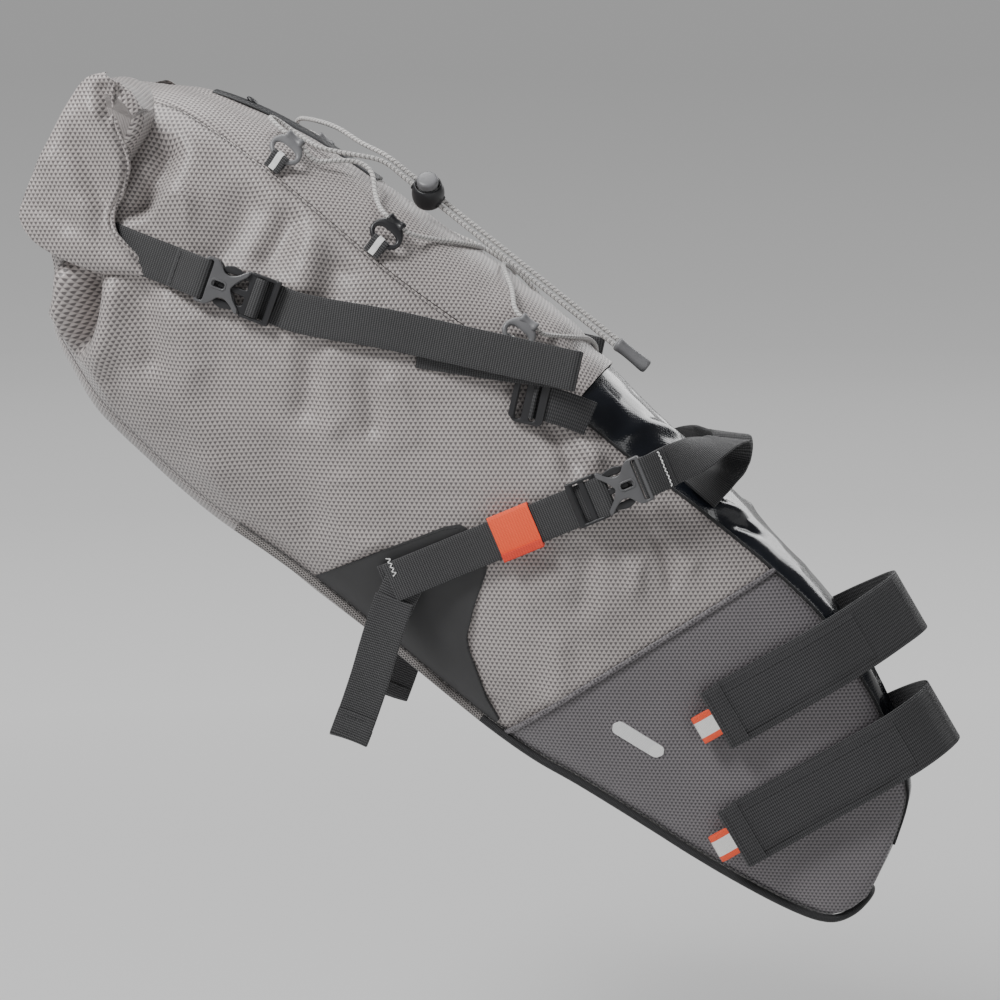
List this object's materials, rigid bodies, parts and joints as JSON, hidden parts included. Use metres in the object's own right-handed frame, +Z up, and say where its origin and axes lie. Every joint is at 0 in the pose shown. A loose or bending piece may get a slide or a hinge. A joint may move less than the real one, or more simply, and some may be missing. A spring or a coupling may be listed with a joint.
{
  "type": "saddle bag",
  "caption": "Roll-top saddle bag that hangs behind a seatpost, with buckled side straps, saddle-rail loops, hook-and-loop seatpost straps and an elastic cord net on top.",
  "frame": {"origin": "centre of the rubber pad's face that rests against the back of the seatpost", "axes": "+X forward along the bicycle, +Y to the rider's left, +Z up; the bag's long axis leans 39 degrees up to the rear"},
  "size_m": [0.6079, 0.1926, 0.5416],
  "materials": {
    "shell_fabric": "warm grey coated fabric with a fine triangular weave",
    "nose_fabric": "dark grey coated fabric, abrasion resistant",
    "gloss_tarpaulin": "glossy black tarpaulin",
    "wing_patch": "smooth matte black rubberised patch",
    "rubber_trim": "matte black rubber",
    "webbing": "black ribbed polyester webbing",
    "hook_and_loop": "black ribbed webbing faced with hook and loop",
    "orange_elastic": "bright orange woven elastic",
    "pull_tab": "red-orange tape with a silver reflective middle",
    "buckle_plastic": "satin black acetal",
    "hook_plastic": "satin mid grey acetal",
    "lock_rubber": "satin black plastic",
    "elastic_cord": "light grey braided elastic cord with dark flecks"
  },
  "bodies": {
    "root": {"top_panel": "shell_fabric", "bottom_panel": "shell_fabric", "side_panel_right": "shell_fabric", "nose_panel_right": "nose_fabric", "wing_patch_right": "wing_patch", "roll_strap_right": "webbing", "anchor_webbing_right": "webbing", "compression_strap_right": "webbing", "rail_strap_right": "webbing", "ladder_lock_right": "buckle_plastic", "saddle_socket_right": "buckle_plastic", "cord_hook_right_rear": "hook_plastic", "cord_tab_right_rear": "webbing", "cord_hook_right_middle": "hook_plastic", "cord_tab_right_middle": "webbing", "cord_hook_right_front": "hook_plastic", "cord_tab_right_front": "webbing", "side_panel_left": "shell_fabric", "nose_panel_left": "nose_fabric", "wing_patch_left": "wing_patch", "roll_strap_left": "webbing", "anchor_webbing_left": "webbing", "compression_strap_left": "webbing", "rail_strap_left": "webbing", "ladder_lock_left": "buckle_plastic", "saddle_socket_left": "buckle_plastic", "cord_hook_left_rear": "hook_plastic", "cord_tab_left_rear": "webbing", "cord_hook_left_middle": "hook_plastic", "cord_tab_left_middle": "webbing", "cord_hook_left_front": "hook_plastic", "cord_tab_left_front": "webbing", "front_panel": "gloss_tarpaulin", "seatpost_pad": "rubber_trim", "edge_piping": "rubber_trim", "crown_strip": "webbing", "seatpost_strap_upper": "hook_and_loop", "seatpost_strap_lower": "hook_and_loop", "bungee_cord": "elastic_cord", "cord_end": "hook_plastic"},
    "roll": {"roll_closure": "shell_fabric", "roll_stub_right": "webbing", "roll_stub_left": "webbing", "roll_socket_right": "buckle_plastic", "roll_socket_left": "buckle_plastic"},
    "roll_plug_right": {"roll_plug_right": "buckle_plastic"},
    "roll_plug_left": {"roll_plug_left": "buckle_plastic"},
    "saddle_plug_right": {"saddle_plug_right": "buckle_plastic"},
    "saddle_plug_left": {"saddle_plug_left": "buckle_plastic"},
    "keeper_right": {"strap_keeper_right": "orange_elastic"},
    "keeper_left": {"strap_keeper_left": "orange_elastic"},
    "tail_right": {"strap_tail_right": "webbing"},
    "tail_left": {"strap_tail_left": "webbing"},
    "flap_upper": {"seatpost_flap_upper": "hook_and_loop", "pull_tab_upper": "pull_tab"},
    "flap_lower": {"seatpost_flap_lower": "hook_and_loop", "pull_tab_lower": "pull_tab"},
    "cord_lock": {"cord_lock_body": "lock_rubber"},
    "lock_button": {"cord_lock_button": "hook_plastic"}
  },
  "joints": [
    {"name": "roll_unroll", "type": "hinge", "parent": "root", "child": "roll", "pos_m": [-0.45185, 0, 0.35728], "axis": [0, 1, 0], "range_deg": [0, 100]},
    {"name": "roll_buckle_release_right", "type": "slide", "parent": "root", "child": "roll_plug_right", "axis": [0.9397, 0, -0.342], "range_m": [0, 0.02]},
    {"name": "roll_buckle_release_left", "type": "slide", "parent": "root", "child": "roll_plug_left", "axis": [0.9397, 0, -0.342], "range_m": [0, 0.02]},
    {"name": "saddle_buckle_release_right", "type": "slide", "parent": "root", "child": "saddle_plug_right", "axis": [-0.9205, 0, -0.3907], "range_m": [0, 0.02]},
    {"name": "saddle_buckle_release_left", "type": "slide", "parent": "root", "child": "saddle_plug_left", "axis": [-0.9205, 0, -0.3907], "range_m": [0, 0.02]},
    {"name": "keeper_slide_right", "type": "slide", "parent": "root", "child": "keeper_right", "axis": [-0.9205, 0, -0.3907], "range_m": [0, 0.015]},
    {"name": "keeper_slide_left", "type": "slide", "parent": "root", "child": "keeper_left", "axis": [-0.9205, 0, -0.3907], "range_m": [0, 0.015]},
    {"name": "tail_swing_right", "type": "hinge", "parent": "root", "child": "tail_right", "pos_m": [-0.287, -0.082, 0.042], "axis": [-0.9483, 0, 0.3173], "range_deg": [0, 70]},
    {"name": "tail_swing_left", "type": "hinge", "parent": "root", "child": "tail_left", "pos_m": [-0.287, 0.082, 0.042], "axis": [0.9483, 0, -0.3173], "range_deg": [0, 70]},
    {"name": "flap_peel_upper", "type": "hinge", "parent": "root", "child": "flap_upper", "pos_m": [0.03019, -0.0165, 0.03503], "axis": [-0.5075, 0, 0.8616], "range_deg": [0, 100]},
    {"name": "flap_peel_lower", "type": "hinge", "parent": "root", "child": "flap_lower", "pos_m": [0.05334, -0.01623, -0.03481], "axis": [-0.5075, 0, 0.8616], "range_deg": [0, 100]},
    {"name": "cord_lock_slide", "type": "slide", "parent": "root", "child": "cord_lock", "axis": [0.7785, 0.08, -0.6226], "range_m": [0, 0.03]},
    {"name": "lock_button_press", "type": "slide", "parent": "cord_lock", "child": "lock_button", "axis": [-0.0694, 0.7169, -0.6937], "range_m": [0, 0.004], "stiffness_N_per_m": 600}
  ]
}
